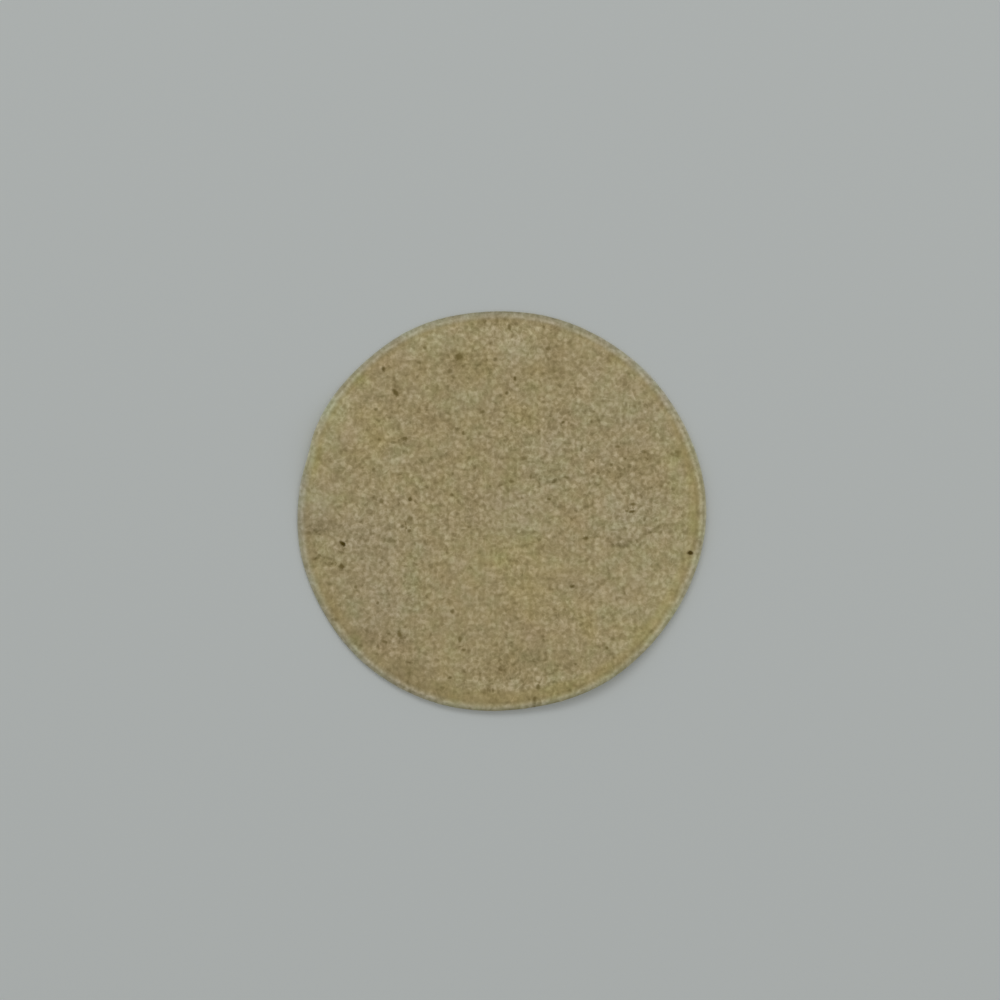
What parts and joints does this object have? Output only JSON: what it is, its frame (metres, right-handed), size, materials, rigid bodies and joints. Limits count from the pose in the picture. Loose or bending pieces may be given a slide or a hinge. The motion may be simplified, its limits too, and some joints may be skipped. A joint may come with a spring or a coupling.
{
  "type": "corn tortilla",
  "caption": "Thin, nearly round corn tortilla: a flat sheet of baked maize dough with a pebbled, freckled top, low pale blisters, a smooth rim band and a narrow lip, to fill, fold or stack.",
  "frame": {"origin": "bottom centre of the bounding box, on the surface that the flat underside rests on", "axes": "+Z up out of the top face; +X to the right and +Y up as the sheet is seen from above in the picture"},
  "size_m": [0.153, 0.15, 0.0044],
  "materials": {
    "dough": "matte"
  },
  "bodies": {
    "root": {"tortilla": "dough"}
  },
  "joints": []
}
